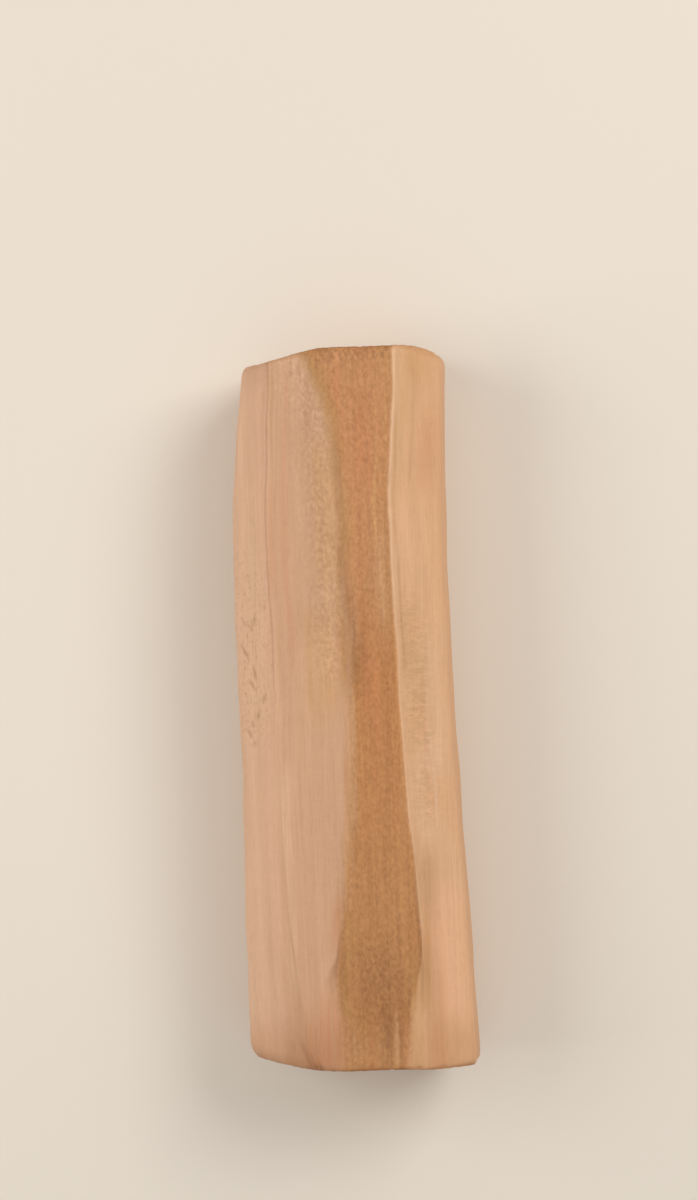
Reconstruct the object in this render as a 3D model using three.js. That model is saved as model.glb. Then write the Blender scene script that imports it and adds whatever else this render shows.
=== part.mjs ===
// A stick of sandalwood: a short billet, hewn to ten long faces and sawn off at both ends.
// It lies on its flat back.
// Millimetres, +Z up. The stick runs along Y, from its foot at -Y to its tip at +Y, and its crown faces up.
// The origin is under the middle of the stick, on the surface that it lies on.

import * as THREE from 'three';

// Driving dimensions.
const stickLength = 104;
const stickThickness = 24;

// The ridges where the hewn faces meet, in order round the stick from its right side over the crown.
// x and z: where the ridge would be if it were sharp, at six even steps from the foot to the tip.
// round: the radius worn on it.
// ends: the radius worn on its corner with the sawn foot, and with the sawn tip.
// strips: how many strips the face from here to the next ridge is split into.
// hollow: how deep the tool's strokes lie in that face.
const ridges = [
  { name: 'right edge', x: [16.3, 15.6, 14.5, 13.9, 13.8, 14.4], z: [18.9, 19.2, 19.7, 20.1, 20.0, 19.6],
    round: 1.1, ends: [1.0, 2.3], strips: 3, hollow: 0.12 },
  { name: 'crown edge', x: [9.1, 8.75, 7.2, 6.5, 6.2, 7.9], z: [23.7, 23.9, 24.0, 24.0, 23.95, 23.7],
    round: 0.45, ends: [0.7, 1.1], strips: 4, hollow: 0.1 },
  { name: 'crown bend', x: [-3.0, -2.9, -1.5, -0.6, -1.0, -3.2], z: [23.7, 23.85, 24.0, 24.0, 24.0, 23.75],
    round: 3.5, ends: [0.6, 1.1], strips: 4, hollow: 0.14 },
  { name: 'check edge', x: [-7.4, -10, -10.8, -11.3, -11.7, -10.7], z: [22.9, 22.6, 22.5, 22.4, 22.5, 22.4],
    round: 0.9, ends: [1.2, 0.8], strips: 3, hollow: 0.12 },
  { name: 'left edge', x: [-16.5, -16.6, -16.4, -16.7, -16.5, -14.5], z: [16.4, 17.4, 17.8, 18, 17.7, 17.5],
    round: 1.6, ends: [1.9, 1.4], strips: 3, hollow: 0.1 },
  { name: 'left keel', x: [-15.7, -15.9, -15.8, -16.1, -15.8, -14.2], z: [8.4, 8.0, 8.6, 9.3, 9.0, 8.5],
    round: 1.8, ends: [1.6, 1.2], strips: 3, hollow: 0.2 },
  { name: 'back left', x: [-9.2, -9.8, -10.1, -9.7, -9.6, -8.9], z: [0, 0, 0, 0, 0, 0],
    round: 1.0, ends: [0.7, 0.7], strips: 5, hollow: 0 },
  { name: 'back right', x: [10.6, 10.2, 9.3, 8.8, 9.2, 9.4], z: [0, 0, 0, 0, 0, 0],
    round: 1.1, ends: [0.7, 0.7], strips: 2, hollow: 0.14 },
  { name: 'lower right', x: [15.2, 14.5, 13.4, 12.7, 12.9, 13.2], z: [4.6, 4.4, 4.9, 5.2, 4.8, 4.9],
    round: 1.3, ends: [1.0, 0.9], strips: 2, hollow: 0.1 },
  { name: 'right keel', x: [17.1, 16.3, 15.4, 14.7, 14.6, 15.1], z: [12.2, 11.6, 12.0, 12.8, 12.4, 12.0],
    round: 1.4, ends: [1.2, 1.8], strips: 3, hollow: 0.14 },
];

// Strokes of the tool along the faces, coarse ones with finer ones among them.
// Their pitch changes from face to face.
const strokePitch = 15;
const strokePitchChange = 2.6;
const strokeShift = 0.37; // how far each face starts behind the one before it, as a share of a stroke
const fineRate = 1.63;
const fineShare = 0.4;

// The ridges wander a little sideways, out of step with the strokes beside them.
const ridgeWander = 0.09;
const wanderShift = 5;

// The tip was sawn from two sides, so its left part falls back. Its right corner is worn.
// Each starts and ends at a distance from the middle, to the left or to the right.
const tipFall = 2.0;
const tipFallFrom = 2;
const tipFallTo = 13;
const tipWear = 1.0;
const tipWearFrom = 9.5;
const tipWearTo = 15;

// The foot is sawn nearly square: its right part stands proud of the rest. Its left corner is worn.
const footProud = 0.3;
const footProudFrom = 6;
const footProudTo = 12;
const footWearFrom = 3.6;
const footWearCurve = 0.0105;

// The least radius of a ridge where it meets a sawn face.
const leastRound = 0.3;

// How finely the surface is split.
const ridgeSteps = 4;
const lengthSteps = 42;
const cornerSteps = 3;
const cornerGap = 0.6; // between the worn corners of the ends and the nearest ring of the body
const endScales = [0.84, 0.64, 0.42, 0.2];

const ridgeLines = ridges.map(({ x, z }) => new THREE.CatmullRomCurve3(
  x.map((side, k) => new THREE.Vector3(side, (k / (x.length - 1)) * stickLength, z[k])),
  false,
  'catmullrom',
));

// An uneven wave between -1 and 1, different for every face.
function strokesAt(order, distance) {
  const turns = distance / (strokePitch + strokePitchChange * (order % 3));
  const start = order * strokeShift;
  const coarse = Math.sin(2 * Math.PI * (turns + start));
  const fine = Math.sin(2 * Math.PI * (turns * fineRate - start));
  return THREE.MathUtils.lerp(coarse, fine, fineShare);
}

// The sharp corners of the section at a distance from the foot, as places across the stick.
function cornersAt(distance) {
  return ridgeLines.map((line, order) => {
    const { x, z } = line.getPoint(distance / stickLength);
    return new THREE.Vector2(x + ridgeWander * strokesAt(order + wanderShift, distance), z);
  });
}

function facingAt(turn) {
  return new THREE.Vector2(Math.cos(turn), Math.sin(turn));
}

// The corners of a section whose faces lie a little inside those of the full one, by what insetOf gives.
// Each has the way in from it, its radius, and how the faces before and after it are turned.
function insetCornersAt(distance, insetOf) {
  const corners = cornersAt(distance);
  const count = corners.length;
  const turns = corners.map((corner, order) => {
    const { x, y } = corners[(order + 1) % count].clone().sub(corner);
    return Math.atan2(-x, y);
  });
  return corners.map((corner, order) => {
    const before = turns[(order + count - 1) % count];
    const after = turns[order] < before ? turns[order] + 2 * Math.PI : turns[order];
    const inset = insetOf(ridges[order]);
    const wayIn = facingAt((before + after) / 2).multiplyScalar(-1 / Math.cos((after - before) / 2));
    return {
      corner: corner.clone().addScaledVector(wayIn, inset),
      wayIn,
      round: Math.max(ridges[order].round - inset, leastRound),
      before,
      after,
    };
  });
}

// The section across the stick: places round it, each with its radii at the two ends.
function sectionAt(distance, insetOf = () => 0) {
  const corners = insetCornersAt(distance, insetOf);
  return corners.flatMap(({ corner, wayIn, round, before, after }, order) => {
    const { ends, strips, hollow } = ridges[order];
    const centre = corner.clone().addScaledVector(wayIn, round);
    const worn = Array.from({ length: ridgeSteps + 1 }, (_, k) => {
      const facing = facingAt(THREE.MathUtils.lerp(before, after, k / ridgeSteps));
      return { place: centre.clone().addScaledVector(facing, round), ends };
    });
    const nextOrder = (order + 1) % ridges.length;
    const next = corners[nextOrder].corner;
    const hewn = Array.from({ length: strips - 1 }, (_, k) => {
      const share = (k + 1) / strips;
      const depth = hollow * 2 * share * (1 - share) * (1 + strokesAt(order, distance));
      return {
        place: corner.clone().lerp(next, share).addScaledVector(facingAt(after), -depth),
        ends: ends.map((radius, end) => THREE.MathUtils.lerp(radius, ridges[nextOrder].ends[end], share)),
      };
    });
    return [...worn, ...hewn];
  });
}

// The sawn ends, as the distance from the foot at which each stands for a given x.
function footEnd(x) {
  const proud = footProud * THREE.MathUtils.smoothstep(x, footProudFrom, footProudTo);
  return footProud - proud + footWearCurve * Math.max(0, -x - footWearFrom) ** 2;
}

function tipEnd(x) {
  const fall = tipFall * THREE.MathUtils.smoothstep(-x, tipFallFrom, tipFallTo);
  const wear = tipWear * THREE.MathUtils.smoothstep(x, tipWearFrom, tipWearTo);
  return stickLength - fall - wear;
}

// A ring round the stick at a share of the way from one sawn end to the other.
function ringAt(share) {
  return sectionAt(share * stickLength).map(({ place }) => (
    new THREE.Vector3(place.x, THREE.MathUtils.lerp(footEnd(place.x), tipEnd(place.x), share), place.y)
  ));
}

// The rings over the worn corner of one sawn end and on to its flat. end is 0 at the foot and 1 at the tip.
function endRings(end) {
  const surface = end === 0 ? footEnd : tipEnd;
  const inwards = end === 0 ? 1 : -1;
  const radii = sectionAt(end * stickLength).map(({ ends }) => ends[end]);
  const corner = Array.from({ length: cornerSteps + 1 }, (_, step) => {
    const angle = (step / cornerSteps) * (Math.PI / 2);
    const insetOf = ({ ends }) => ends[end] * (1 - Math.cos(angle));
    return radii.map((radius, k) => {
      const back = radius * (1 - Math.sin(angle));
      const { place } = sectionAt(end * stickLength + inwards * back, insetOf)[k];
      return new THREE.Vector3(place.x, surface(place.x) + inwards * back, place.y);
    });
  });
  const rim = corner[cornerSteps];
  const flat = endScales.map((scale) => rim.map(({ x, z }) => (
    new THREE.Vector3(x * scale, surface(x * scale), THREE.MathUtils.lerp(stickThickness / 2, z, scale))
  )));
  return [...corner, ...flat];
}

// Rings between the worn corners, evenly spaced.
function bodyRings() {
  const margin = (Math.max(...ridges.flatMap(({ ends }) => ends)) + cornerGap) / stickLength;
  return Array.from({ length: lengthSteps + 1 }, (_, k) => (
    ringAt(THREE.MathUtils.lerp(margin, 1 - margin, k / lengthSteps))
  ));
}

// Joins rings of equal length into one closed surface, with a point in the middle of each end.
function closedSurface(rings, firstMiddle, lastMiddle) {
  const around = rings[0].length;
  const points = [...rings.flat(), firstMiddle, lastMiddle];
  const faces = [];
  for (let ring = 0; ring < rings.length - 1; ring += 1) {
    for (let k = 0; k < around; k += 1) {
      const a = ring * around + k;
      const b = ring * around + ((k + 1) % around);
      faces.push(a, a + around, b, b, a + around, b + around);
    }
  }
  const lastRing = (rings.length - 1) * around;
  for (let k = 0; k < around; k += 1) {
    const next = (k + 1) % around;
    faces.push(points.length - 2, k, next);
    faces.push(points.length - 1, lastRing + next, lastRing + k);
  }
  const surface = new THREE.BufferGeometry().setFromPoints(points);
  surface.setIndex(faces);
  return surface;
}

function makeStick() {
  const middle = (surface) => new THREE.Vector3(0, surface(0), stickThickness / 2);
  const rings = [...endRings(0).reverse(), ...bodyRings(), ...endRings(1)];
  const geometry = closedSurface(rings, middle(footEnd), middle(tipEnd));
  geometry.computeBoundingBox();
  const { min, max } = geometry.boundingBox;
  geometry.translate(-(min.x + max.x) / 2, -(min.y + max.y) / 2, -min.z);
  geometry.computeVertexNormals();
  const sandalwood = new THREE.MeshStandardMaterial({ color: '#c9976b', roughness: 0.58, metalness: 0 });
  const stick = new THREE.Mesh(geometry, sandalwood);
  stick.name = 'sandalwood_stick';
  return stick;
}

const sandalwoodStick = new THREE.Group();
sandalwoodStick.add(makeStick());

export default sandalwoodStick;
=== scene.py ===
# A stick of sandalwood, hewn to long faces and sawn off at both ends, lying on its flat back.
import math

import bpy
import numpy as np
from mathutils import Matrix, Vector, noise
from mathutils.bvhtree import BVHTree


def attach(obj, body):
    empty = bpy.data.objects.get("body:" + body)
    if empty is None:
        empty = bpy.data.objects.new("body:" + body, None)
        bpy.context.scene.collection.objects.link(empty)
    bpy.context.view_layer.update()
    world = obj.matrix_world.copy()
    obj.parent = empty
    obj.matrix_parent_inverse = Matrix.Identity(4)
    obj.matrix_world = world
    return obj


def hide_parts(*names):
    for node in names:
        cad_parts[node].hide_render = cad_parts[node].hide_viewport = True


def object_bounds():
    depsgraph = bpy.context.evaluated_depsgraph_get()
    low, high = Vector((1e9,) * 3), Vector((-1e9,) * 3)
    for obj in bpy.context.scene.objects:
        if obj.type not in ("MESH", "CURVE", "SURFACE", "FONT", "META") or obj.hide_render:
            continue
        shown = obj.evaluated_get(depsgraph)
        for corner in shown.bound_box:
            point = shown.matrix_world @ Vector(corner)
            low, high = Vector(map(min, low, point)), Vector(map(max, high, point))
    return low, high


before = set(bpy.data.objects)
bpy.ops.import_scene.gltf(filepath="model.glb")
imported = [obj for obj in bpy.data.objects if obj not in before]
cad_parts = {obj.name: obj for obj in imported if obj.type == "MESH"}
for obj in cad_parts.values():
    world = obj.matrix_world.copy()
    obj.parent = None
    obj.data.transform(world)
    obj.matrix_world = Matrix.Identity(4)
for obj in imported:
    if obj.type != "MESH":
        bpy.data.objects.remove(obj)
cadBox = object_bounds()
metre = 0.001  # everything below is worked out in millimetres
halfLength = cadBox[1][1] / metre
crownHeight = cadBox[1][2] / metre


def linearColour(hexColour):
    channels = [int(hexColour[k:k + 2], 16) / 255 for k in (1, 3, 5)]
    return [c / 12.92 if c <= 0.04045 else ((c + 0.055) / 1.055) ** 2.4 for c in channels] + [1.0]


def addNode(tree, kind, settings=None, inputs=None, stops=None):
    made = tree.nodes.new("ShaderNode" + kind)
    for name, value in (settings or {}).items():
        setattr(made, name, value)
    for name, value in (inputs or {}).items():
        source = value.outputs[0] if isinstance(value, bpy.types.Node) else value
        if isinstance(source, bpy.types.NodeSocket):
            tree.links.new(source, made.inputs[name])
        else:
            made.inputs[name].default_value = source
    for k, (position, colour) in enumerate(stops or []):
        element = made.color_ramp.elements[k] if k < 2 else made.color_ramp.elements.new(position)
        element.position = position
        element.color = linearColour(colour)
    return made


# The fine skin of the stick. It is laid over the solid in columns that follow its two sharp lines.
skin = {
    "columnsOverCrown": 84,  # between the crown edge and the long check
    "columnsRound": 226,  # from the check round the back to the crown edge
    "crowding": 0.55,  # how much closer the columns stand beside those two lines, 0 to 1
    # where the search for each line starts, its step, and how far the surface leans there, as a sine
    "crownEdge": (2.5, 0.05, 0.24),
    "longCheck": (-5.5, -0.05, 0.38),
    "searchHeight": 60.0,  # well above the stick
    "rowPitch": 0.5,
    "middleHeight": 12.0,
    "cornerReach": 6.0,  # from each sawn end, where the rows start to turn over the corner
    "endTrial": 0.8,  # where the way to the sawn end is measured, as a share of the way out
    "sideRows": 14,
    "rimRows": 9,
    "flatRows": 32,
    "rimShare": 0.88,  # where the rim of the sawn face ends, as a share of the way out
}


def solidOf(node):
    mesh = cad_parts[node].data
    corners = [tuple(v.co / metre) for v in mesh.vertices]
    return BVHTree.FromPolygons(corners, [tuple(p.vertices) for p in mesh.polygons])


solid = solidOf("sandalwood_stick")


def lineAt(y, search):
    # walks sideways over the crown until the surface leans by more than the search allows
    x, step, lean = search
    while True:
        place, normal, _, _ = solid.ray_cast(Vector((x, y, skin["searchHeight"])), Vector((0, 0, -1)))
        if abs(normal.x) > lean:
            return place
        x += step


def crowded(count):
    share = np.arange(count) / count
    return share - skin["crowding"] * np.sin(2 * math.pi * share) / (2 * math.pi)


def columnAngles(y):
    edge = lineAt(y, skin["crownEdge"])
    check = lineAt(y, skin["longCheck"])
    first = math.atan2(edge.z - skin["middleHeight"], edge.x)
    second = math.atan2(check.z - skin["middleHeight"], check.x)
    over = first + (second - first) * crowded(skin["columnsOverCrown"])
    around = second + (first + 2 * math.pi - second) * crowded(skin["columnsRound"])
    return np.concatenate([over, around]), edge.x, check.x


def skinRows(spineEnd):
    # each row: where its rays leave the spine, then how far they aim towards the end and outwards,
    # both as shares
    side = [(math.sin(s * math.pi / 2), 1.0) for s in np.linspace(0, 1, skin["sideRows"] + 1)[1:]]
    rim = [(1.0, s) for s in np.linspace(1, skin["rimShare"], skin["rimRows"] + 1)[1:]]
    flat = [(1.0, s) for s in np.linspace(skin["rimShare"], 0, skin["flatRows"] + 1)[1:-1]]
    turn = side + rim + flat
    bodyRows = round(2 * spineEnd / skin["rowPitch"]) + 1
    body = [(y, 0.0, 1.0) for y in np.linspace(-spineEnd, spineEnd, bodyRows)]
    foot = [(-spineEnd, -along, out) for along, out in reversed(turn)]
    tip = [(spineEnd, along, out) for along, out in turn]
    return foot + body + tip


def reachOf(spine, outwards, towards):
    # how far the solid goes from the spine in one direction, and to the end beside that
    place, _, _, _ = solid.ray_cast(spine, outwards)
    radius = (place - spine).length
    end, _, _, _ = solid.ray_cast(spine + outwards * radius * skin["endTrial"], Vector((0, towards, 0)))
    return radius, abs(end.y - spine.y)


def skinPlaces(spineEnd):
    found, lines = [], []
    reaches = {}
    endColumns = {y: columnAngles(y) for y in (-spineEnd, spineEnd)}
    for spineY, along, out in skinRows(spineEnd):
        spine = Vector((0, spineY, skin["middleHeight"]))
        angles, edgeX, checkX = endColumns.get(spineY) or columnAngles(spineY)
        for angle in angles:
            aim = Vector((math.cos(angle), 0, math.sin(angle)))
            if along != 0:
                if (spineY, angle) not in reaches:
                    reaches[spineY, angle] = reachOf(spine, aim, math.copysign(1, spineY))
                radius, end = reaches[spineY, angle]
                aim = aim * radius * out + Vector((0, along * end, 0))
            found.append(solid.ray_cast(spine, aim.normalized())[0])
            lines.append((edgeX, checkX))
    return found, lines, len(angles)


def laySkin():
    spineEnd = halfLength - skin["cornerReach"]
    found, lines, around = skinPlaces(spineEnd)
    rows = len(found) // around
    faces = []
    for row in range(rows - 1):
        for k in range(around):
            a, b = row * around + k, row * around + (k + 1) % around
            faces.append((a, a + around, b + around, b))
    for row, towards in ((0, -1), (rows - 1, 1)):  # one point closes the middle of each end
        middle = len(found)
        spine = Vector((0, towards * spineEnd, skin["middleHeight"]))
        found.append(solid.ray_cast(spine, Vector((0, towards, 0)))[0])
        lines.append(lines[row * around])
        ring = [row * around + k for k in range(around)]
        for a, b in zip(ring, ring[1:] + ring[:1]):
            faces.append((middle, a, b) if towards < 0 else (middle, b, a))
    made = bpy.data.meshes.new("sandalwoodStick")
    made.from_pydata(found, [], faces)
    made.update()
    return made, np.array(lines)


print("laying the skin over the solid")
mesh, skinLines = laySkin()
places = np.array([v.co for v in mesh.vertices])
normals = np.array([v.normal for v in mesh.vertices])
print("skin:", len(places), "points,", len(mesh.polygons), "faces")


seedStep = np.array([7.3, 3.1, 5.7])  # each seed reads the noise this much further on


def woodNoise(at, across, along, seed):
    # smooth noise between -1 and 1 that is stretched along the fibres
    scaled = at * (1 / across, 1 / along, 1 / across) + seed * seedStep
    return np.array([noise.noise(p) for p in scaled.tolist()])


def smooth(value, low, high):
    # from 0 at low to 1 at high, whichever is the greater
    share = np.clip((value - low) / (high - low), 0, 1)
    return share * share * (3 - 2 * share)


def bell(away, width):
    return np.exp(-(away / width) ** 2)


def stretch(start, stop, fade):
    # 1 between two distances from the foot and 0 outside them
    return smooth(fromFoot, start - fade, start + fade) * smooth(fromFoot, stop + fade, stop - fade)


# The brown heart shows on the crown, between the crown edge and a line to the left of it.
heart = {
    # that line: distance from the foot, then x
    "left": [(0, -3.4), (4, -3.2), (8, -3.3), (10, -3.8), (13, -4.3), (15, -4.0), (17, -3.3), (23, -2.6),
             (35, -1.4), (48, -0.7), (59, -0.5), (71, -0.8), (79, -1.0), (89, -1.6), (93, -1.9), (97, -2.9),
             (100, -4.0), (102, -5.0), (104, -6.2)],
    # near the foot it ends short of the crown edge: distance from the foot, then how far short
    "right": [(0, 2.8), (4, 2.2), (7, 1.9), (10, 1.6), (13, 1.1), (15, 0.6), (17, 0.2), (19, 0)],
    "depth": 9.5,  # how far it goes down from the crown
    "underEdge": 1.5,  # how far it goes past the crown edge, below the surface
    # how clear its outline is, 0 to 1, and where that is more: start, stop, fade, how much
    "softness": 0.34,
    "clearer": [(15, 21.5, 2.2, 0.66), (88, 120, 6, 0.23)],
    # how sharply it ends at the crown edge, first near the foot, and where that changes
    "edgeSharpness": (0.96, 8.0),
    "sharpFrom": (10, 21),
    "slope": 0.66,  # how steeply the face right of the crown edge goes down
    "slopeSkin": 0.8,  # how far below that face the heart may pass the edge, and how fast it does so
    "slopePassing": 2,
    "lowest": 15,  # how high up the crown edge still bounds it
    "fade": 0.4,  # over what distance on both sides of its outline its dirt and specks change
}
pith = (2.7, 20.0)  # the rings run round this point of the section
ringTaper = 0.012  # how much further out a ring lies for each millimetre towards the tip
ringStrays = [(0.9, 9, 40), (0.25, 2.5, 16)]  # how far rings stray, over what width and length
# Which part of the stick a point belongs to: where each starts and where it is full.
partLimits = {
    "endGrain": (0.72, 0.93),  # by how far it faces along the stick
    "side": (0.85, 0.55),
    "endBelow": (23.5, 21),  # by its height
    "upper": (14, 18),
}

x, y, z = places.T
fromFoot = y + halfLength
fromEdge = x - skinLines[:, 0]
fromCheck = x - skinLines[:, 1]
fromHeart = x - np.interp(fromFoot, *zip(*heart["left"]))
endFacing = np.abs(normals[:, 1])
endGrain = smooth(endFacing, *partLimits["endGrain"])
side = smooth(endFacing, *partLimits["side"])
upper = smooth(z, *partLimits["upper"]) * (1 - endGrain * smooth(z, *partLimits["endBelow"]))


def heartInside():
    # how far inside the heart a point lies, less than 0 outside it
    half = (fromHeart - fromEdge + heart["underEdge"]) / 2
    across = (fromHeart + fromEdge - heart["underEdge"]) / 2 / half
    down = (crownHeight - z) / heart["depth"]
    clear = heart["softness"]
    for start, stop, fade, more in heart["clearer"]:
        clear = clear + more * stretch(start, stop, fade)
    inside = half * (1 - np.hypot(across, down)) * clear
    belowSlope = crownHeight - heart["slope"] * np.maximum(fromEdge, 0) - z
    soft, sharp = heart["edgeSharpness"]
    limit = -(fromEdge + np.interp(fromFoot, *zip(*heart["right"])))
    limit *= soft + (sharp - soft) * smooth(fromFoot, *heart["sharpFrom"])
    limit += heart["slopePassing"] * np.maximum(belowSlope - heart["slopeSkin"], 0)
    return np.where(z > heart["lowest"], np.minimum(inside, limit), inside)


inHeart = heartInside()
fromPith = np.hypot(x - pith[0], z - pith[1])
ringWaves = sum(far * woodNoise(places, across, along, 10 + k)
                for k, (far, across, along) in enumerate(ringStrays))
ringDistance = fromPith - ringTaper * y + ringWaves

# What the tools, drying and handling did to the surface. All in millimetres but the shares.
work = {
    # the edge tool's long hollows, then raised and sunk fibres: depth, width, length
    "hewn": [(0.05, 9, 24), (0.022, 0.6, 18), (0.03, 1.7, 45)],
    "checkDepth": 0.07,
    "checkWidth": 0.15,
    "checkPieces": 7,  # how long its open pieces are
    "checkClosed": 0.2,  # how open it is between them, as a share
    "checkOpens": (0.1, 0.9),  # where its noise starts to open it, and where it is wide open
    "checkOpensFrom": (45, 65),
    "checkStainAndShade": 0.36,
    # how far right of the check the second one lies, how strong it is, and its depth as a share
    "secondCheck": (0.75, 0.5, 0.5),
    "secondCheckFrom": (82, 92),
    # how far short cracks and end splits stray, over what distance, and how bluntly they end
    "crackWander": (0.2, 3, 0.6),
    "splitWander": (0.15, 40, 0.5),
    "splitWidth": 1.6,  # across which a split strays alike
    "pitLength": 0.8,  # pits lie a little lengthwise
    "pitStainAndShade": 0.65,
    "nickSize": (0.9, 2.6),
    "nickFrom": (0.15, 0.6),  # where the noise starts a nick, and where it is full
    "ridgeNick": 0.16,
    "cornerNick": 0.22,
    "ridgeWidth": 0.4,
    "wearWidth": 0.22,
    "cornerFacing": (0.6, 0.3),  # how far a worn corner faces along the stick, and how wide it is
    "tornDepth": 0.22,
    "tornReach": 2.8,  # from the tip, and the share of that where it is full
    "tornFull": 0.6,
    "tornFromHeart": (-0.8, 0.3),
    "tornToEdge": (0.3, -0.4),
    "tornSize": (0.4, 1.3),
    "sawDepth": 0.05,
    "sawPitch": 1.1,
    "sawLean": 0.18,
    "sawWander": (0.25, 3),  # how far its lines stray, and over what distance
    "sawLines": 0.4,  # how much of its depth they are
    "ringDepth": 0.03,
    "ringWidth": 1.3,
    "endFibres": (0.04, 0.5, 5),  # depth, width, length
    # how often the direction of the cuts is evened out over the surface, and their depth at the corners
    "evening": 12,
    "cornerEvening": 4,
}
# Short cracks and nicks: x, where the middle lies from the foot, half length, half width, depth,
# lean to the right for each mm towards the tip, and how dark, as stain with painted shade in the crack.
cracks = [
    # end checks at the foot
    (-8.1, 1.8, 2.8, 0.38, 0.18, -0.35, 0.45),
    (-7.3, 1.3, 2.3, 0.32, 0.14, -0.30, 0.45),
    (-6.4, 0.7, 1.7, 0.30, 0.10, -0.30, 0.40),
    (3.9, 2.2, 4.4, 0.13, 0.26, 0.02, 0.55),
    (2.9, 8.8, 2.7, 0.10, 0.14, -0.03, 0.40),
    # slanting nicks of the edge tool on the left strip
    (-15.6, 64.8, 0.8, 0.19, 0.06, -0.50, 0.46),
    (-14.2, 64.7, 1.3, 0.19, 0.07, 0.40, 0.46),
    (-12.6, 67.0, 0.6, 0.20, 0.05, 0.30, 0.30),
    (-15.4, 60.6, 1.5, 0.16, 0.08, -0.48, 0.58),
    (-14.2, 57.6, 1.2, 0.18, 0.09, -0.25, 0.60),
    (-14.5, 55.9, 1.0, 0.18, 0.07, -0.60, 0.52),
    (-13.0, 53.9, 0.7, 0.24, 0.07, 0.20, 0.48),
    (-13.9, 51.5, 0.7, 0.24, 0.08, 0.40, 0.52),
    (-14.8, 50.3, 0.5, 0.24, 0.06, 0.00, 0.42),
    (-15.2, 48.8, 0.8, 0.24, 0.08, -0.45, 0.56),
    (-14.6, 47.4, 0.5, 0.24, 0.06, 0.30, 0.40),
]
# Fine splits in the sawn ends, along the rays: which end, the ray's angle round the pith in degrees,
# how far from the pith it starts and stops, half width, depth and darkness, as stain with painted shade in
# the split.
splits = [
    (-1, 72, 0.3, 4.2, 0.20, 0.25, 0.6),
    (-1, 164, 8.2, 12.0, 0.22, 0.20, 0.5),
    (-1, 250, 0.5, 6.0, 0.18, 0.16, 0.5),
    (-1, 318, 0.5, 3.6, 0.16, 0.12, 0.4),
    (-1, 205, 1.0, 4.6, 0.16, 0.12, 0.4),
    (1, 96, 0.3, 3.9, 0.18, 0.20, 0.5),
    (1, 222, 0.5, 5.4, 0.18, 0.16, 0.5),
    (1, 292, 0.5, 6.6, 0.18, 0.16, 0.5),
    (1, 338, 1.0, 3.8, 0.16, 0.10, 0.4),
]
# Small pits in the dark heartwood: x, distance from the foot, radius and depth.
pits = [
    (2.7, 14.0, 0.26, 0.24),
    (2.2, 15.2, 0.20, 0.16),
    (3.1, 15.2, 0.20, 0.16),
    (-0.4, 17.1, 0.20, 0.12),
    (2.9, 12.7, 0.16, 0.12),
    (3.6, 12.2, 0.16, 0.10),
    (1.6, 13.2, 0.15, 0.10),
    (8.1, 15.3, 0.22, 0.10),
]
alongOnly = places * (0, 1, 0)  # for noise that changes along the stick alone

# Each of these gives how deep the surface is cut, and how dark it is stained, with painted shade in the
# checks, cracks, splits and pits.


def hewnFaces():
    return sum(side * deep * (1 + woodNoise(places, across, along, 1 + k))
               for k, (deep, across, along) in enumerate(work["hewn"])), 0


def longCheck():
    # the long check beside the left shoulder, with a finer one next to it near the tip
    opening = woodNoise(alongOnly, 1, work["checkPieces"], 4) + smooth(fromFoot, *work["checkOpensFrom"])
    closed = work["checkClosed"]
    check = bell(fromCheck, work["checkWidth"]) * upper
    check *= closed + (1 - closed) * smooth(opening, *work["checkOpens"])
    offset, strength, depthShare = work["secondCheck"]
    second = bell(fromCheck - offset, work["checkWidth"]) * upper * strength
    second *= smooth(fromFoot, *work["secondCheckFrom"])
    depth = side * work["checkDepth"] * (check + depthShare * second)
    # its dark line is stain with painted shade in the check
    return depth, work["checkStainAndShade"] * np.maximum(check, second)


def shortCracks():
    depth, stainAndShade = 0, 0
    strays, over, blunt = work["crackWander"]
    for crackX, middle, half, width, deep, lean, dark in cracks:
        wander = strays * woodNoise(alongOnly + (crackX, 0, 0), 1, over, 5)
        away = fromFoot - middle
        taper = np.clip(1 - np.abs(away) / half, 0, 1) ** blunt
        crack = bell(x - crackX - lean * away - wander, width) * taper * upper
        depth = depth + deep * crack
        stainAndShade = np.maximum(stainAndShade, dark * crack)
    return depth, stainAndShade


def endSplits():
    depth, stainAndShade = 0, 0
    strays, over, blunt = work["splitWander"]
    wander = strays * woodNoise(places, work["splitWidth"], over, 12)
    for end, degrees, start, stop, width, deep, dark in splits:
        rayX, rayZ = math.cos(math.radians(degrees)), math.sin(math.radians(degrees))
        outwards = (x - pith[0]) * rayX + (z - pith[1]) * rayZ
        sideways = (z - pith[1]) * rayX - (x - pith[0]) * rayZ + wander
        taper = np.clip(1 - np.abs(2 * outwards - start - stop) / (stop - start), 0, 1) ** blunt
        split = bell(sideways, width) * taper * endGrain * (y * end > 0)
        depth = depth + deep * split
        stainAndShade = np.maximum(stainAndShade, dark * split)
    return depth, stainAndShade


def heartPits():
    depth, stainAndShade = 0, 0
    for pitX, pitAlong, radius, deep in pits:
        pit = bell(np.hypot(x - pitX, (fromFoot - pitAlong) * work["pitLength"]), radius) * upper
        depth = depth + deep * pit
        # the pit is darkened: stain with painted shade
        stainAndShade = np.maximum(stainAndShade, work["pitStainAndShade"] * pit)
    return depth, stainAndShade


def wornEdges():
    # the crown edge is worn a little and nicked, and so are all the corners at the sawn ends
    nicks = smooth(woodNoise(places, *work["nickSize"], 6), *work["nickFrom"])
    facing, width = work["cornerFacing"]
    corner = bell(endFacing - facing, width)
    ridge = bell(fromEdge, work["ridgeWidth"]) * upper * side
    return (work["ridgeNick"] * ridge + work["cornerNick"] * corner) * nicks, 0


def tornFibres():
    # along the tip's crown, where the saw came through
    ragged = 0.5 + 0.5 * woodNoise(places, *work["tornSize"], 7)
    return work["tornDepth"] * torn * ragged, 0


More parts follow.
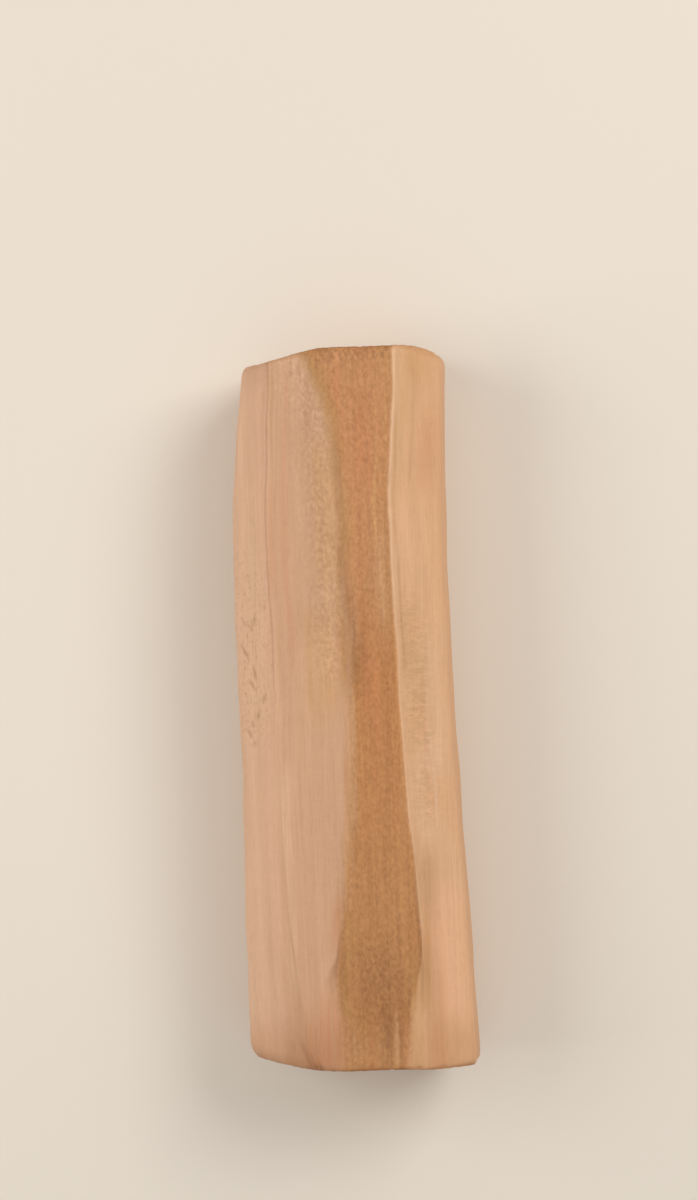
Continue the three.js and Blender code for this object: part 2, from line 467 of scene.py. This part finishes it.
def sawnEnds():
    # the saw's lines on both ends, and the harder late wood of each ring a little proud
    strays, over = work["sawWander"]
    sawn = z + work["sawLean"] * x + strays * woodNoise(places, over, over, 8)
    sawLine = np.sin(2 * math.pi * sawn / work["sawPitch"])
    lateWood = np.sin(2 * math.pi * ringDistance / work["ringWidth"])
    deep, across, along = work["endFibres"]
    depth = work["sawDepth"] * (1 - work["sawLines"] + work["sawLines"] * sawLine)
    depth += work["ringDepth"] * (0.5 + 0.5 * lateWood)
    return endGrain * (depth + deep * (1 + woodNoise(places, across, along, 9))), 0


def evened(values, times):
    # each value averaged with those of its neighbours on the skin, again and again
    ends = np.array([e.vertices for e in mesh.edges])
    count = np.bincount(ends.ravel())[:, None]
    for _ in range(times):
        total = np.zeros_like(values)
        np.add.at(total, ends[:, 0], values[ends[:, 1]])
        np.add.at(total, ends[:, 1], values[ends[:, 0]])
        values = (values + total / count) / 2
    return values


torn = smooth(fromHeart, *work["tornFromHeart"]) * smooth(fromEdge, *work["tornToEdge"]) * upper
torn *= smooth(y, halfLength - work["tornReach"], halfLength - work["tornFull"] * work["tornReach"])
depth = np.zeros(len(places))
stainAndShade = np.zeros(len(places))
for cut in (hewnFaces, longCheck, shortCracks, endSplits, heartPits, wornEdges, tornFibres, sawnEnds):
    cutDepth, cutStainAndShade = cut()
    depth += cutDepth
    stainAndShade = np.maximum(stainAndShade, cutStainAndShade)
# evened out, so that the surface doesn't fold at the corners
atCorner = bell(endFacing - work["cornerFacing"][0], work["cornerFacing"][1])
depth += (evened(depth[:, None], work["cornerEvening"])[:, 0] - depth) * atCorner
inwards = -evened(normals, work["evening"])
mesh.vertices.foreach_set("co", ((places + inwards * depth[:, None]) * metre).ravel())
mesh.update()
print("relief cut")

# Streaks of colour on the crown and the right slope. Each has its tint, the line that it follows,
# how far right of that its middle lies, its half width, where it starts and ends from the foot,
# and its strength.
streaks = [
    # in the heart near the foot
    ("olive", "heart", 1.5, 0.7, 14, 22, 0.60),
    ("olive", "heart", 1.2, 0.6, 7, 12, 0.60),
    ("olive", "middle", 0.2, 0.7, 5, 8, 0.40),
    ("dusky", "middle", 2.2, 1.9, 9, 16, 0.24),
    ("dusky", "middle", 3.5, 0.7, 4, 10, 0.36),
    ("dusky", "middle", 5.3, 1.0, 8, 14, 0.24),
    ("dusky", "middle", 5.3, 0.4, 1, 8, 0.36),
    ("russet", "middle", 6.0, 0.8, 0, 7, 0.30),
    ("dusky", "middle", 3.1, 0.9, 2, 7, 0.35),
    ("dusky", "middle", -1.9, 0.2, 1, 8, 0.35),
    ("pale", "middle", 4.6, 0.3, 1, 8, 0.26),
    ("pale", "middle", -1.4, 0.25, 1, 8, 0.16),
    ("olive", "edge", -1.4, 1.0, -3, 7, 0.35),
    ("russet", "heart", -1.5, 1.8, 1, 11, 0.38),
    ("russet", "heart", -4.0, 2.0, -3, 9, 0.30),
    ("russet", "heart", -0.7, 0.7, 18, 25, 0.40),
    ("russet", "middle", 0.9, 0.5, 1, 7, 0.45),
    ("russet", "middle", 1.0, 3.0, -3, 1, 0.35),
    ("russet", "edge", -1.2, 0.9, 18, 21, 0.45),
    ("olive", "edge", -0.9, 1.4, 8, 17, 0.50),
    ("olive", "edge", 0.4, 0.5, 11, 18, 0.35),
    ("pale", "edge", 1.6, 0.8, 8, 20, 0.30),
    ("dusky", "edge", -0.4, 0.3, 12, 24, 0.42),
    ("russet", "edge", 1.5, 1.4, -3, 21, 0.30),
    ("golden", "edge", 0.9, 0.4, 16, 23, 0.50),
    ("rosy", "edge", 4.4, 2.2, 7, 26, 0.70),
    ("pale", "edge", 4.4, 2.2, 24, 36, 0.30),
    ("dusky", "edge", 1.6, 1.6, 22, 31, 0.24),
    ("pale", "edge", 2.4, 1.8, 32, 45, 0.35),
    ("pale", "middle", -10.0, 0.9, 12, 44, 0.45),
    # along the middle
    ("dusky", "heart", -0.3, 0.5, 54, 76, 0.28),
    ("dusky", "heart", 0.8, 0.6, 56, 69, 0.46),
    ("dusky", "heart", 1.9, 0.8, 56, 64, 0.20),
    ("dusky", "heart", 0.2, 0.9, 68, 90, 0.16),
    ("pale", "check", 0.2, 0.8, 32, 58, 0.35),
    ("olive", "heart", 0.5, 0.5, 28, 62, 0.35),
    ("golden", "heart", -2.4, 1.6, 52, 74, 0.24),
    ("olive", "heart", -0.8, 0.8, 54, 76, 0.42),
    ("golden", "edge", 1.8, 1.3, 46, 60, 0.18),
    ("olive", "edge", 2.0, 1.6, 57, 67, 0.20),
    ("russet", "heart", -1.0, 0.8, 57, 65, 0.35),
    ("dusky", "middle", -5.4, 2.3, 62, 94, 0.13),
    ("russet", "check", 0.5, 0.6, 69, 84, 0.22),
    ("pale", "check", -2.4, 1.2, 50, 84, 0.48),
    ("russet", "check", 2.8, 1.3, 60, 84, 0.06),
    ("golden", "check", 6.5, 2.2, 50, 66, 0.25),
    ("russet", "middle", 1.8, 0.7, 52, 66, 0.60),
    ("russet", "middle", 3.0, 0.6, 40, 60, 0.40),
    ("dusky", "edge", 0.9, 0.18, 58, 74, 0.25),
    ("olive", "edge", 3.2, 1.6, 50, 60, 0.12),
    ("pale", "edge", 4.5, 2.4, 42, 61, 0.50),
    ("pale", "edge", 4.5, 2.4, 60, 80, 0.20),
    ("pale", "edge", -1.5, 0.7, 64, 77, 0.22),
    ("olive", "check", 5.2, 0.5, 52, 66, 0.20),
    # near the tip
    ("russet", "middle", 2.3, 1.5, 84, 98, 0.38),
    ("russet", "middle", 1.5, 0.8, 66, 84, 0.25),
    ("olive", "edge", -1.0, 0.9, 62, 98, 0.28),
    ("dusky", "edge", -0.6, 0.5, 64, 99, 0.07),
    ("golden", "edge", -2.1, 0.25, 76, 90, 0.45),
    ("olive", "heart", 0.3, 1.0, 74, 104, 0.60),
    ("golden", "heart", -2.0, 1.8, 72, 90, 0.35),
    ("olive", "heart", -0.1, 0.8, 90, 108, 0.45),
    ("russet", "middle", -1.1, 0.8, 89, 102, 0.42),
    ("dusky", "check", 5.9, 0.8, 92, 101, 0.14),
    # painted shade: darker at the left corner of the tip
    ("dusky", "check", -2.2, 1.3, 99, 107, 0.20),
    ("olive", "edge", -1.6, 1.2, 101, 106, 0.40),
    ("russet", "edge", -4.5, 2.0, 101, 106, 0.30),
    # painted highlight: a pale band just right of the crown edge near the tip
    ("pale", "edge", 0.95, 0.75, 84, 104, 0.30),
    ("dusky", "edge", 2.9, 0.35, 84, 97, 0.16),
    ("golden", "edge", 1.4, 0.8, 82, 99, 0.32),
    ("golden", "edge", 3.4, 2.4, 99, 108, 0.40),
    ("dusky", "edge", 2.8, 0.7, 97, 102, 0.14),
    ("olive", "edge", 0.6, 0.2, 76, 94, 0.35),
    ("russet", "edge", 5.4, 1.5, 84, 94, 0.25),
    ("rosy", "edge", 1.8, 1.0, 74, 84, 0.22),
    ("russet", "check", 2.7, 0.4, 58, 100, 0.22),
    ("dusky", "check", 1.5, 0.12, 80, 104, 0.12),
    ("dusky", "check", 2.1, 0.10, 84, 104, 0.10),
    ("dusky", "check", 3.3, 0.12, 78, 104, 0.10),
    ("dusky", "check", 4.1, 0.12, 86, 101, 0.08),
    # beside the curled fibres on the right slope
    ("pale", "edge", 4.1, 0.30, 35, 48, 0.60),
    ("russet", "edge", 3.3, 1.1, 38, 56, 0.12),
]
tints = ("pale", "rosy", "golden", "russet", "olive", "dusky")
lines = {"middle": x, "heart": fromHeart, "edge": fromEdge, "check": fromCheck}
streakFade = 3.0  # a streak fades over this length at both ends
streakWander = 0.5  # how far it wanders sideways, as a share of its half width
streakWave = 9.0  # over what length

# Marks of other kinds, each in a band that is given as a streak is:
# line, offset, half width, start, stop, strength.
bands = {
    "outlined": (fromHeart, 0, 2.5, 15, 19, 0.65),  # where the heart's outline is dark
    "chattered": (fromHeart, -3.4, 1.9, 60, 72, 1.0),  # where the edge tool chattered
    "curled": (fromEdge, 2.7, 2.0, 35, 68, 1.0),  # curled fibres on the right slope
    "flecked": (fromCheck, -3.0, 2.6, 47, 74, 1.0),  # small flecks among the nicks on the left strip
    "besideHeart": (fromHeart, -2.2, 2.9, 56, 106, 1.0),  # specks beside the heart
    "footSpecks": (x, 3.0, 2.4, 6, 18, 0.7),  # and more of them in it near the foot
}
# Painted shade: the sawn corners and the foot all round are darkened, more on its left, as shadow falls
# there.
paintedShadeReach = {
    "corner": (0.1, 0.7),  # by how far it faces along the stick
    "tipShare": 0.4,  # how much of that the tip has
    "foot": (10, 1),  # by the distance from the foot
    "left": 0.9,
    "right": 0.3,
    "leftToRight": (-4, 10),
    "inHeart": 0.5,
}
# where the crown edge starts to look worn and is painted lighter as a highlight: from, to, how much
wearFrom = ((17, 22, 0.35), (50, 75, 0.65))
endSpecks = 0.3  # how strong the specks are on the sawn ends, as a share
pithRadius = 0.5  # the rays start here
rayCount = 16  # how many medullary rays lie round the pith, for each radian
rayLength = 5.0


def band(line, offset, width, start, stop, strength, seed):
    wander = streakWander * width * woodNoise(alongOnly, 1, streakWave, seed)
    return strength * bell(line - offset - wander, width) * stretch(start, stop, streakFade) * upper


def vertexMarks():
    marks = {tint: np.zeros(len(places)) for tint in tints}
    for k, (tint, follows, *shape) in enumerate(streaks):
        marks[tint] = 1 - (1 - marks[tint]) * (1 - band(lines[follows], *shape, 20 + k))
    for k, (name, shape) in enumerate(bands.items()):
        marks[name] = band(*shape, 10 + k)
    heartThere = smooth(inHeart, -heart["fade"], heart["fade"])
    marks["specked"] = np.maximum(marks.pop("besideHeart"), heartThere) + marks.pop("footSpecks")
    marks["specked"] *= 1 + (endSpecks - 1) * endGrain
    # painted shade: darker along the foot and at the sawn corners, standing in for shadow
    onFoot = smooth(fromFoot, *paintedShadeReach["foot"]) * (1 - paintedShadeReach["inHeart"] * heartThere)
    onFoot *= paintedShadeReach["left"] + (paintedShadeReach["right"] - paintedShadeReach["left"]) * smooth(x, *paintedShadeReach["leftToRight"])
    onCorner = smooth(endFacing, *paintedShadeReach["corner"]) * np.where(y > 0, paintedShadeReach["tipShare"], 1)
    marks["paintedShade"] = np.maximum(onCorner, onFoot)
    # the worn crown edge, also painted lighter as a highlight along it
    worn = sum(more * smooth(fromFoot, start, stop) for start, stop, more in wearFrom)
    marks["wear"] = worn * bell(fromEdge, work["wearWidth"]) * upper * side
    return {**marks, "inHeart": inHeart, "ringDistance": ringDistance, "stainAndShade": stainAndShade, "torn": torn,
            "endGrain": endGrain}


marks = vertexMarks()
for name, values in marks.items():
    mesh.attributes.new(name, "FLOAT", "POINT").data.foreach_set("value", values.astype(np.float32))
toPith = np.stack([x - pith[0], z - pith[1]]) / np.maximum(fromPith, pithRadius)
rayPlace = np.stack([toPith[0] * rayCount, toPith[1] * rayCount, fromPith / rayLength], axis=1)
rays = mesh.attributes.new("rayPlace", "FLOAT_VECTOR", "POINT")
rays.data.foreach_set("vector", rayPlace.astype(np.float32).ravel())
mesh.shade_smooth()

stickObject = bpy.data.objects.new("sandalwood_stick_skin", mesh)
bpy.context.scene.collection.objects.link(stickObject)
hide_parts("sandalwood_stick")
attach(stickObject, "root")
print("streaks laid")

# Sandalwood, hewn and rubbed smooth by hand: tan sapwood with soft streaks, a brown oily heart,
# and dull sawn ends.
sandalwood = {
    # colours by the place from left to right, and from foot to tip, as shares
    "sapFromLeft": [(0.02, "#dcb292"), (0.15, "#dbaf8f"), (0.19, "#cfa280"), (0.45, "#cfa280"),
                    (0.70, "#deae85"), (0.84, "#dfad82"), (0.98, "#dfae85")],
    "heartFromFoot": [(0.03, "#c08b59"), (0.075, "#b07846"), (0.14, "#b17a49"), (0.21, "#b9824f"),
                      (0.55, "#bb7f49"), (0.67, "#bf8758"), (0.88, "#c48859"), (0.99, "#bf8858")],
    "halfWidth": 17.0,
    "pale": "#e2bb97",
    "rosy": "#f3be98",
    "golden": "#d2a066",
    "russet": "#c07c4e",
    "olive": "#b5854c",
    "dusky": "#8a5a2e",
    # stain with painted shade, darkening the checks, cracks, splits and pits
    "crackStainAndShade": "#86502a",
    # painted shade at the sawn corners and along the foot, multiplied in
    "paintedShade": "#e2d2c0",  # multiplied in
    # worn crown edge, painted paler as a highlight
    "wornEdgeHighlight": "#ecc5a0",
    "sawnEnd": "#e8d8c8",  # multiplied in: a sawn end is duller and darker than the sides
    # how much of each mark covers the wood
    "layers": {"wear": 0.65, "paintedShade": 0.8, "endGrain": 0.6, "stainAndShade": 0.9},
    "sway": 2.4,  # how far the fibres sway sideways, mm, then over what width and length
    "swayWidth": 16.0,
    "swayLength": 60.0,
    # patterns: width across the fibres, length along them, detail, twist, and how much they change
    # the tone.
    # Real fibres and pores are 0.02 to 0.1 mm wide, drawn as coarse as the picture can show.
    "patterns": {
        "broad": (2.6, 60.0, 2.0, 0.0, 0.20),
        "middle": (0.65, 24.0, 2.0, 0.0, 0.16),
        "fine": (0.26, 9.0, 2.0, 0.0, 0.13),
        "speck": (0.5, 0.75, 3.0, 0.5, 0.08),
        "curl": (1.5, 0.5, 2.0, 1.0, 0.07),
        "vessel": (0.2, 2.6, 0.0, 0.0, 0.0),
        "ragged": (0.9, 14.0, 3.0, 0.0, 0.0),
    },
    "patternShift": (11, 7, 5),  # so that no pattern repeats the one before it
    "raggedness": 1.4,  # how far the fibres fray the heart's outline, mm
    "heartEdge": (0.2, 1.3),  # where the heart begins behind that outline, and where it is full
    # the pattern that breaks up each streak, then what it is multiplied by and what is added
    "streakPatterns": {"pale": "fine", "rosy": "broad", "golden": "middle", "russet": "middle",
                       "olive": "middle", "dusky": "fine"},
    "streakBreak": (1.8, 0.1),
    # how much each changes the tone, on the sides and then how much more on the sawn ends
    "ringTone": (0.14, 0.33),
    "lateWoodTone": (-0.015, -0.15),
    "rayTone": (0.0, 0.3),
    "speckTone": 0.70,
    "heartStreakTone": 0.3,
    "chatterTone": 0.22,
    "curlTone": 0.48,
    "chatterSize": (5.0, 0.45),
    "toneByChannel": (0.85, 1.0, 1.25),  # dark fibres are browner than pale ones
    # the heart's dark outline, by the distance into the heart as a share of 2.5 mm
    "outline": [(0.08, "#000000"), (0.24, "#ffffff"), (0.30, "#ffffff"), (0.46, "#000000")],
    "outlineWidth": 2.5,
    "vesselFrom": (0.6, 0.75),
    "vesselShare": 0.08,
    # dark specks where fibres are torn, and flecks: where they are full, where they end, and how dark
    "tornSpecks": (0.38, 0.56, 0.32),
    "flecks": (0.34, 0.46, 0.25),
    "bumpDepth": 0.06,  # mm
    "bumpStrength": 0.35,
    "fineBump": 1.5,  # how much more the fine fibres raise than the specks
    "roughness": 0.55,
    "heartRoughness": 0.48,
    "endRoughness": 0.85,
    "roughnessChange": 0.2,
    "ior": 1.5,
}


def fibrePlaces(tree, look):
    # places in millimetres, plain and with the fibres swaying a little
    where = addNode(tree, "TexCoord").outputs["Object"]
    place = addNode(tree, "VectorMath", {"operation": "SCALE"}, {0: where, "Scale": 1 / metre})
    swayScale = (1 / look["swayWidth"], 1 / look["swayLength"], 1 / look["swayWidth"])
    drift = addNode(tree, "Mapping", None, {"Vector": place, "Scale": swayScale})
    driftNoise = addNode(tree, "TexNoise", None, {"Vector": drift, "Scale": 1.0, "Detail": 1.0})
    swaying = addNode(tree, "VectorMath", {"operation": "MULTIPLY_ADD"},
                      {0: driftNoise.outputs["Color"], 1: (look["sway"], 0, look["sway"]), 2: place})
    return place, swaying


def fibrePatterns(tree, look, swaying):
    patterns = {}
    for k, (name, (across, along, detail, twist, _)) in enumerate(look["patterns"].items()):
        shift = [k * part for part in look["patternShift"]]
        scaled = addNode(tree, "Mapping", None, {"Vector": swaying, "Location": shift,
                                                 "Scale": (1 / across, 1 / along, 1 / across)})
        patterns[name] = addNode(tree, "TexNoise", None,
                                 {"Vector": scaled, "Scale": 1.0, "Detail": detail, "Distortion": twist})
    return patterns


def plainWood(tree, look, place, marked, patterns):
    # sapwood by its place across the stick, heartwood by its place along it, and a ragged line
    # between them
    half = look["halfWidth"]
    axes = addNode(tree, "SeparateXYZ", None, {0: place})
    across = addNode(tree, "MapRange", None,
                     {"Value": axes.outputs["X"], "From Min": -half, "From Max": half})
    along = addNode(tree, "MapRange", None,
                    {"Value": axes.outputs["Y"], "From Min": -halfLength, "From Max": halfLength})
    sap = addNode(tree, "ValToRGB", None, {"Fac": across}, look["sapFromLeft"])
    heartwood = addNode(tree, "ValToRGB", None, {"Fac": along}, look["heartFromFoot"])
    ragged = addNode(tree, "Math", {"operation": "MULTIPLY_ADD"},
                     {0: patterns["ragged"], 1: look["raggedness"], 2: marked["inHeart"]})
    begins, full = look["heartEdge"]
    heartShare = addNode(tree, "MapRange", {"interpolation_type": "SMOOTHSTEP"},
                         {"Value": ragged, "From Min": begins, "From Max": full})
    wood = addNode(tree, "MixRGB", None, {"Fac": heartShare, "Color1": sap, "Color2": heartwood})
    return wood, ragged, heartShare


def streakedWood(tree, look, wood, marked, patterns):
    # the streaks of colour, broken up by the fibres
    times, plus = look["streakBreak"]
    for tint in tints:
        pattern = patterns[look["streakPatterns"][tint]]
        broken = addNode(tree, "Math", {"operation": "MULTIPLY_ADD"}, {0: pattern, 1: times, 2: plus})
        share = addNode(tree, "Math", {"operation": "MULTIPLY", "use_clamp": True},
                        {0: marked[tint], 1: broken})
        wood = addNode(tree, "MixRGB", None,
                       {"Fac": share, "Color1": wood, "Color2": linearColour(look[tint])})
    return wood


def tonedWood(tree, look, wood, place, marked, patterns, heartShare):
    # fibres, rings, rays, curled fibres, specks and chatter change the tone around 1
    turns = addNode(tree, "Math", {"operation": "DIVIDE"},
                    {0: marked["ringDistance"], 1: work["ringWidth"]})
    rings = addNode(tree, "TexNoise", {"noise_dimensions": "1D"},
                    {"W": turns, "Scale": 1.0, "Detail": 3.0})
    lateWood = addNode(tree, "Math", {"operation": "FRACT"}, {0: turns})
    rayMark = addNode(tree, "Attribute", {"attribute_name": "rayPlace"}).outputs["Vector"]
    rays = addNode(tree, "TexNoise", None, {"Vector": rayMark, "Scale": 1.0, "Detail": 3.0})
    width, length = look["chatterSize"]
    chatterPlace = addNode(tree, "Mapping", None,
                           {"Vector": place, "Scale": (1 / width, 1 / length, 1 / width)})
    chatter = addNode(tree, "TexNoise", None, {"Vector": chatterPlace, "Scale": 1.0, "Detail": 1.0})

    weighted = [(patterns[name], row[-1]) for name, row in look["patterns"].items() if row[-1]]
    for pattern, tone in ((rings, "ringTone"), (lateWood, "lateWoodTone"), (rays, "rayTone")):
        onSides, onEnds = look[tone]
        weight = addNode(tree, "Math", {"operation": "MULTIPLY_ADD"},
                         {0: marked["endGrain"], 1: onEnds, 2: onSides})
        weighted.append((pattern, weight))
    for pattern, mark, tone in ((patterns["speck"], marked["specked"], "speckTone"),
                                (patterns["middle"], heartShare, "heartStreakTone"),
                                (patterns["curl"], marked["curled"], "curlTone"),
                                (chatter, marked["chattered"], "chatterTone")):
        weight = addNode(tree, "Math", {"operation": "MULTIPLY"}, {0: mark, 1: look[tone]})
        weighted.append((pattern, weight))

    change = 0.0
    for pattern, weight in weighted:
        around = addNode(tree, "Math", {"operation": "SUBTRACT"}, {0: pattern, 1: 0.5})
        change = addNode(tree, "Math", {"operation": "MULTIPLY_ADD"}, {0: around, 1: weight, 2: change})
    channels = addNode(tree, "VectorMath", {"operation": "MULTIPLY_ADD"},
                       {0: change, 1: look["toneByChannel"], 2: (1, 1, 1)})
    return addNode(tree, "VectorMath", {"operation": "MULTIPLY"}, {0: wood, 1: channels})


def markedWood(tree, look, wood, marked, patterns, ragged):
    # the heart's dark outline, vessels as thin dark dashes, torn fibres, worn edges and their painted
    # highlight, painted shade at corners and foot, and stained, shaded cracks
    inside = addNode(tree, "Math", {"operation": "DIVIDE"}, {0: ragged, 1: look["outlineWidth"]})
    outline = addNode(tree, "ValToRGB", None, {"Fac": inside}, look["outline"])
    begins, full = look["vesselFrom"]
    vessels = addNode(tree, "MapRange", None,
                      {"Value": patterns["vessel"], "From Min": begins, "From Max": full})
    layers = [(outline, marked["outlined"], "dusky", "MIX"),
              (vessels, look["vesselShare"], "dusky", "MIX")]
    for mark, specks in (("torn", "tornSpecks"), ("flecked", "flecks")):
        full, ends, dark = look[specks]
        speck = addNode(tree, "MapRange", None,
                        {"Value": patterns["speck"], "From Min": full, "From Max": ends, "To Min": dark,
                         "To Max": 0.0})
        layers.append((speck, marked[mark], "dusky", "MIX"))
    # the worn edge is painted lighter as a highlight; corners, foot and cracks are painted darker as shade
    for mark, colour, blend in (("wear", "wornEdgeHighlight", "MIX"), ("paintedShade", "paintedShade", "MULTIPLY"),
                                ("endGrain", "sawnEnd", "MULTIPLY"), ("stainAndShade", "crackStainAndShade", "MIX")):
        layers.append((marked[mark], look["layers"][mark], colour, blend))
    for pattern, amount, colour, blend in layers:
        share = addNode(tree, "Math", {"operation": "MULTIPLY", "use_clamp": True},
                        {0: pattern, 1: amount})
        wood = addNode(tree, "MixRGB", {"blend_type": blend},
                       {"Fac": share, "Color1": wood, "Color2": linearColour(look[colour])})
    return wood


def woodSurface(tree, look, wood, marked, patterns, heartShare):
    fibreHeight = addNode(tree, "Math", {"operation": "MULTIPLY_ADD"},
                          {0: patterns["fine"], 1: look["fineBump"], 2: patterns["speck"]})
    bump = addNode(tree, "Bump", None,
                   {"Strength": look["bumpStrength"], "Distance": look["bumpDepth"] * metre,
                    "Height": fibreHeight})
    rubbed = addNode(tree, "MapRange", None,
                     {"Value": heartShare, "To Min": look["roughness"], "To Max": look["heartRoughness"]})
    dull = addNode(tree, "MapRange", None,
                   {"Value": marked["endGrain"], "To Min": rubbed, "To Max": look["endRoughness"]})
    roughness = addNode(tree, "Math", {"operation": "MULTIPLY_ADD"},
                        {0: patterns["middle"], 1: look["roughnessChange"], 2: dull})
    return addNode(tree, "BsdfPrincipled", None,
                   {"Base Color": wood, "Roughness": roughness, "IOR": look["ior"], "Normal": bump})


def makeSandalwood(look):
    material = bpy.data.materials.new("sandalwoodHewnAndRubbed")
    material.use_nodes = True
    tree = material.node_tree
    tree.nodes.clear()
    marked = {name: addNode(tree, "Attribute", {"attribute_name": name}).outputs["Fac"]
              for name in marks}
    place, swaying = fibrePlaces(tree, look)
    patterns = fibrePatterns(tree, look, swaying)
    wood, ragged, heartShare = plainWood(tree, look, place, marked, patterns)
    wood = streakedWood(tree, look, wood, marked, patterns)
    wood = tonedWood(tree, look, wood, place, marked, patterns, heartShare)
    wood = markedWood(tree, look, wood, marked, patterns, ragged)
    surface = woodSurface(tree, look, wood, marked, patterns, heartShare)
    addNode(tree, "OutputMaterial", None, {"Surface": surface})
    return material


mesh.materials.append(makeSandalwood(sandalwood))
print("sandalwood made")

# A sheet of matte pale paper to lie on.
floor = {"colour": "#ebe4d9", "size": 3000.0, "roughness": 0.9}


def makeFloor(look):
    half = look["size"] / 2 * metre
    sheet = bpy.data.meshes.new("floor")
    corners = [(-half, -half, 0), (half, -half, 0), (half, half, 0), (-half, half, 0)]
    sheet.from_pydata(corners, [], [(0, 1, 2, 3)])
    paper = bpy.data.materials.new("paperMatte")
    paper.use_nodes = True
    shader = paper.node_tree.nodes["Principled BSDF"]
    shader.inputs["Base Color"].default_value = linearColour(look["colour"])
    shader.inputs["Roughness"].default_value = look["roughness"]
    sheet.materials.append(paper)
    made = bpy.data.objects.new("floor", sheet)
    bpy.context.scene.collection.objects.link(made)


makeFloor(floor)

# Soft light from both sides, a little more from the upper right. Power is in watts.
lights = {
    "key": {"place": (300, 240, 420), "size": 300, "power": 1.4, "colour": "#fffaf4"},
    "left": {"place": (-380, 60, 340), "size": 320, "power": 0.95, "colour": "#fffaf4"},
    "top": {"place": (0, -120, 700), "size": 500, "power": 0.42, "colour": "#fffdf9"},
}
lightTarget = (0, 0, 12)
room = {"colour": "#fcf8f2", "strength": 0.39}


def makeLight(name, look):
    light = bpy.data.lights.new(name, "AREA")
    light.energy = look["power"]
    light.size = look["size"] * metre
    light.color = linearColour(look["colour"])[:3]
    made = bpy.data.objects.new(name, light)
    made.location = Vector(look["place"]) * metre
    towards = Vector(lightTarget) - Vector(look["place"])
    made.rotation_euler = towards.to_track_quat("-Z", "Y").to_euler()
    bpy.context.scene.collection.objects.link(made)


def makeRoom(look):
    world = bpy.data.worlds.new("room")
    world.use_nodes = True
    background = world.node_tree.nodes["Background"]
    background.inputs["Color"].default_value = linearColour(look["colour"])
    background.inputs["Strength"].default_value = look["strength"]
    bpy.context.scene.world = world
    bpy.context.scene.view_settings.view_transform = "Standard"


for name, look in lights.items():
    makeLight(name, look)
makeRoom(room)
print("lights set")

# The camera looks straight down. The stick leans a little to the left in the picture,
# and lies below its middle.
view = {
    "lens": 110.0,
    "sensor": 36.0,
    "height": 1200,  # of the picture, in pixels
    "mmPerPixel": 0.1428,  # at the crown
    "crownHeight": 23.0,
    "middle": (-0.24, 15.66),
    "turn": -1.84,  # in degrees
}


def placeCamera(look):
    data = bpy.data.cameras.new("camera")
    data.lens = look["lens"]
    data.sensor_width = look["sensor"]
    camera = bpy.data.objects.new("camera", data)
    distance = look["lens"] / look["sensor"] * look["height"] * look["mmPerPixel"]
    camera.location = Vector((*look["middle"], look["crownHeight"] + distance)) * metre
    camera.rotation_euler = (0, 0, math.radians(look["turn"]))
    bpy.context.scene.collection.objects.link(camera)
    bpy.context.scene.camera = camera


placeCamera(view)
